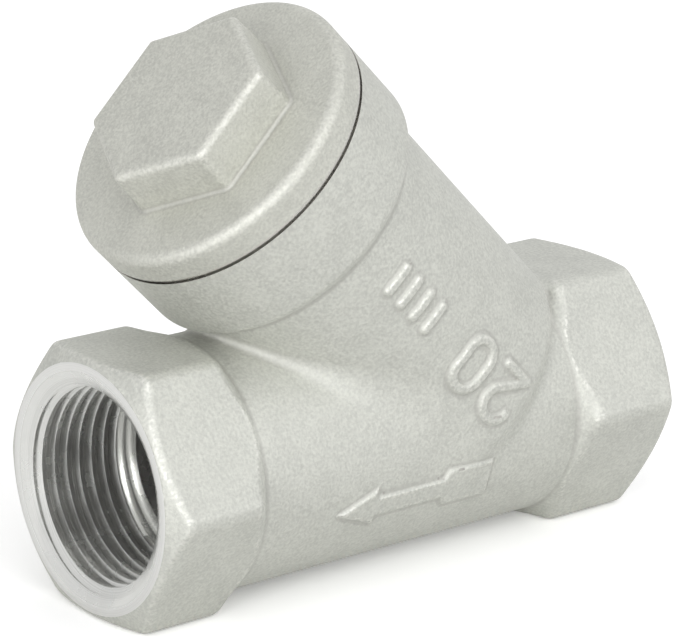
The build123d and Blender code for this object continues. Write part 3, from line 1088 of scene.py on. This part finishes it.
# %% Painting the cap
SKIN, TURNED, CORED = range(3)
middles = in_branch(read_floats(cap_casting.data.polygons, "center") / MM)
from_branch = np.hypot(middles[:, 0], middles[:, 1])
on_skin = np.abs(cap_field(middles)) < skin_depth
height = middles[:, 2]
outside = (height >= flange_bottom + 0.05) & (from_branch > core_radius)
inside = (height > cap_ceiling - touch / 2) & (from_branch < pilot_radius + touch / 2)
choice = np.select([on_skin & (outside | (height > core_top + 1)), inside], [SKIN, CORED], TURNED)
finished(cap_casting, [cap_steel, branch_steel, cored_steel], choice, cap_field,
         in_branch(read_floats(cap_casting.data.vertices, "co") / MM))

# %% [markdown]
# ## In the frame
# The visual body, cap and wire sleeve stand for their CAD nodes. The gasket, the perforated sheet
# and the two pressed rings keep the CAD's own meshes.

# %% Riding and finishes
for piece, name, node, host, slot in (
        (body, "body_casting", "body", "housing", "cast_steel_body"),
        (cap_casting, "cap_casting", "cap", "bonnet", "cast_steel_cap"),
        (wire_cloth, "wire_sleeve", "screen_mesh", "screen", "wire_cloth")):
    piece.name = name
    piece.data.name = name
    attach(piece, host)
    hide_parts(node)
    print(name, "rides on", host)

for node, material in (("cap_gasket", white_gasket), ("screen_support", sheet_steel),
                       ("screen_lower_ring", ring_steel), ("screen_upper_ring", ring_steel)):
    mesh = frame["nodes"][node].data
    mesh.materials.clear()
    mesh.materials.append(material)
    print(node, "takes", material.name)

# %% [markdown]
# ## Camera, floor and light
# The camera stands a little above the outlet's side, well back and with a long lens, so that the
# far hexagon looks nearly as large as the near one. The floor is pale and the light is soft, so a
# matt metal shows its shape in small steps of grey.

# %% Camera
camera_azimuth, camera_elevation, camera_roll = 39.49, 16.80, 0.719
camera_distance = 420.08
camera_target = Vector((-1.967, 0.0, run_height + 13.964))


def towards(azimuth, elevation):
    """The direction of an azimuth and an elevation in degrees."""
    a, e = math.radians(azimuth), math.radians(elevation)
    return Vector((-math.sin(a) * math.cos(e), -math.cos(a) * math.cos(e), math.sin(e)))


a, r = math.radians(camera_azimuth), math.radians(camera_roll)
back = towards(camera_azimuth, camera_elevation)
level = Vector((math.cos(a), -math.sin(a), 0))
up = level.cross(-back).normalized()
right = level * math.cos(r) + up * math.sin(r)
up = up * math.cos(r) - level * math.sin(r)
camera_data = bpy.data.cameras.new("camera")
camera_data.sensor_width = 36
camera_data.lens = 180.7664
camera_data.clip_start = 0.01
camera_data.clip_end = 20
camera = linked("camera", camera_data)
camera.matrix_world = Matrix.Translation((camera_target + back * camera_distance) * MM) @ Matrix(
    (right, up, back)).transposed().to_4x4()
bpy.context.scene.camera = camera
print("camera at", tuple(round(x, 3) for x in camera.location))

# %% [markdown]
# The floor takes light as a pale grey, so that it doesn't flood the object from below, and the
# camera alone sees it whiter. It lies a hair below the hexagons' flats.

# %% Floor
floor_mesh = bpy.data.meshes.new("floor")
floor_mesh.from_pydata([(-4, -4, 0), (4, -4, 0), (4, 4, 0), (-4, 4, 0)], [], [(0, 1, 2, 3)])
floor = linked("floor", floor_mesh)
floor.location.z = -0.00002
material, shader, main = new_material("pale_floor")
seen = shader.add("ShaderNodeLightPath", "Is Camera Ray")
shader.fill(main, Base_Color=shader.mixed(seen, (0.78, 0.78, 0.77), (0.96, 0.96, 0.96)),
            Roughness=0.9, Specular_IOR_Level=0.1, Emission_Color=(1, 1, 1, 1),
            Emission_Strength=shader.maths("MULTIPLY", seen, 0.16))
floor_mesh.materials.append(material)
print("floor", floor.dimensions[0], "m wide")


# %% Lights
def softbox(name, azimuth, elevation, distance, size, power):
    """A square area light aimed at the middle of the object."""
    light = bpy.data.lights.new(name, "AREA")
    light.shape = "SQUARE"
    light.size = size
    light.energy = power
    away = towards(azimuth, elevation)
    lamp = linked(name, light)
    lamp.location = Vector((0, 0, 0.03)) + away * distance
    lamp.rotation_euler = away.to_track_quat("Z", "Y").to_euler()
    print(name, size, "m wide,", power, "W")


sky_strength, sky_slope = 0.84, (0.06, -0.16, 0.12)
world = bpy.data.worlds.new("studio")
bpy.context.scene.world = world
world.use_nodes = True
sky = Nodes(world.node_tree)
glow = sky.vectors("DOT_PRODUCT", "Value", sky.add("ShaderNodeTexCoord", "Generated"), sky_slope)
sky.fill(world.node_tree.nodes["Background"], Color=(1, 1, 1, 1),
         Strength=sky.maths("ADD", glow, sky_strength))
softbox("key", 5, 35, 1.2, 0.9, 3.0)
softbox("bore_fill", 66, 8, 0.9, 0.35, 2.6)
softbox("thread_light", 28, 12, 0.8, 0.10, 0.5)
bpy.context.scene.view_settings.view_transform = "Standard"
